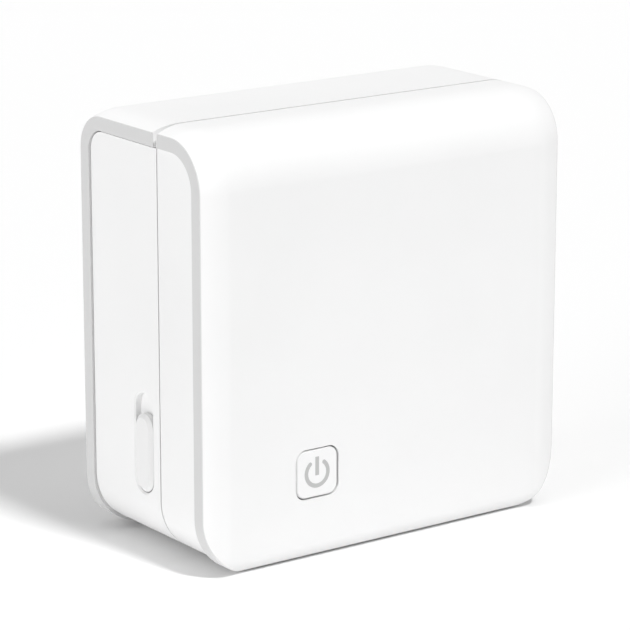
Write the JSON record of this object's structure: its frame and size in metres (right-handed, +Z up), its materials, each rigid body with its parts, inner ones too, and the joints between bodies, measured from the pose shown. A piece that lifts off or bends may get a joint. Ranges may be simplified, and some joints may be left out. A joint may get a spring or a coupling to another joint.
{
  "type": "portable thermal printer",
  "caption": "Square pocket thermal printer: white two-part case with a rolled rim, hinged rear cover, power button, release slider and a platen drive inside.",
  "frame": {"origin": "middle of the footprint at the table", "axes": "+Z up, -Y out of the front face, +X to the right as seen from the front"},
  "size_m": [0.083, 0.0424, 0.083],
  "materials": {
    "case_white": "satin",
    "steel": "satin",
    "plated_steel": "satin",
    "rubber_black": "matte",
    "gear_nylon": "satin",
    "inner_black": "satin",
    "board_green": "satin",
    "battery_blue": "satin",
    "ceramic": "satin",
    "aluminium": "satin",
    "wire_red": "satin",
    "flex_amber": "gloss"
  },
  "bodies": {
    "case": {"front_shell": "case_white", "mid_frame": "case_white", "main_pcb": "board_green", "pcb_chips": "inner_black", "tact_switch": "inner_black", "ribbon_connector": "inner_black", "head_ribbon": "flex_amber", "usb_socket": "plated_steel", "battery_pack": "battery_blue", "battery_connector": "gear_nylon", "battery_lead": "wire_red", "paper_bay": "case_white", "print_chassis": "plated_steel", "head_pivot_pins": "steel", "head_springs": "plated_steel", "stepper_motor": "plated_steel", "idler_stud": "steel", "latch_spring": "plated_steel", "tear_bar": "plated_steel", "paper_sensor": "inner_black", "rubber_feet": "rubber_black", "case_screws": "plated_steel", "pcb_screws": "plated_steel", "chassis_screws": "plated_steel"},
    "cover": {"rear_cover": "case_white", "platen_bracket": "plated_steel", "platen_bushings": "gear_nylon", "cover_catch": "steel", "catch_peg": "steel", "hinge_pins": "steel", "bracket_screws": "plated_steel"},
    "platen": {"platen_shaft": "steel", "platen_rubber": "rubber_black", "platen_gear": "gear_nylon"},
    "idler": {"idler_gear": "gear_nylon"},
    "rotor": {"motor_pinion": "gear_nylon"},
    "head": {"thermal_head": "ceramic", "heat_sink": "aluminium"},
    "latch": {"release_slider": "case_white", "latch_link": "gear_nylon"},
    "button": {"power_button": "case_white"}
  },
  "joints": [
    {"name": "cover_hinge", "type": "hinge", "parent": "case", "child": "cover", "pos_m": [0, 0.0176, 0.0036], "axis": [-1, 0, 0], "range_deg": [0, 90]},
    {"name": "platen_spin", "type": "hinge", "parent": "cover", "child": "platen", "pos_m": [0, -0.00065, 0.073], "axis": [1, 0, 0], "continuous": true},
    {"name": "idler_spin", "type": "hinge", "parent": "case", "child": "idler", "pos_m": [0, -0.01032, 0.07046], "axis": [1, 0, 0], "continuous": true},
    {"name": "motor_spin", "type": "hinge", "parent": "case", "child": "rotor", "pos_m": [0, -0.01332, 0.05987], "axis": [1, 0, 0], "continuous": true},
    {"name": "head_pivot", "type": "hinge", "parent": "case", "child": "head", "pos_m": [0, -0.00745, 0.0668], "axis": [1, 0, 0], "range_deg": [-0.8, 1.5], "stiffness_Nm_per_rad": 0.5},
    {"name": "latch_slide", "type": "slide", "parent": "case", "child": "latch", "axis": [0, 0, 1], "range_m": [0, 0.0032], "stiffness_N_per_m": 200, "springref_m": -0.005, "deforming": ["latch_spring"]},
    {"name": "button_press", "type": "slide", "parent": "case", "child": "button", "axis": [0, 1, 0], "range_m": [0, 0.0004], "stiffness_N_per_m": 1500, "springref_m": -0.0006}
  ],
  "couplings": [
    {"joint": "idler_spin", "follows": "platen_spin", "ratio": -1.5},
    {"joint": "motor_spin", "follows": "platen_spin", "ratio": 4}
  ]
}
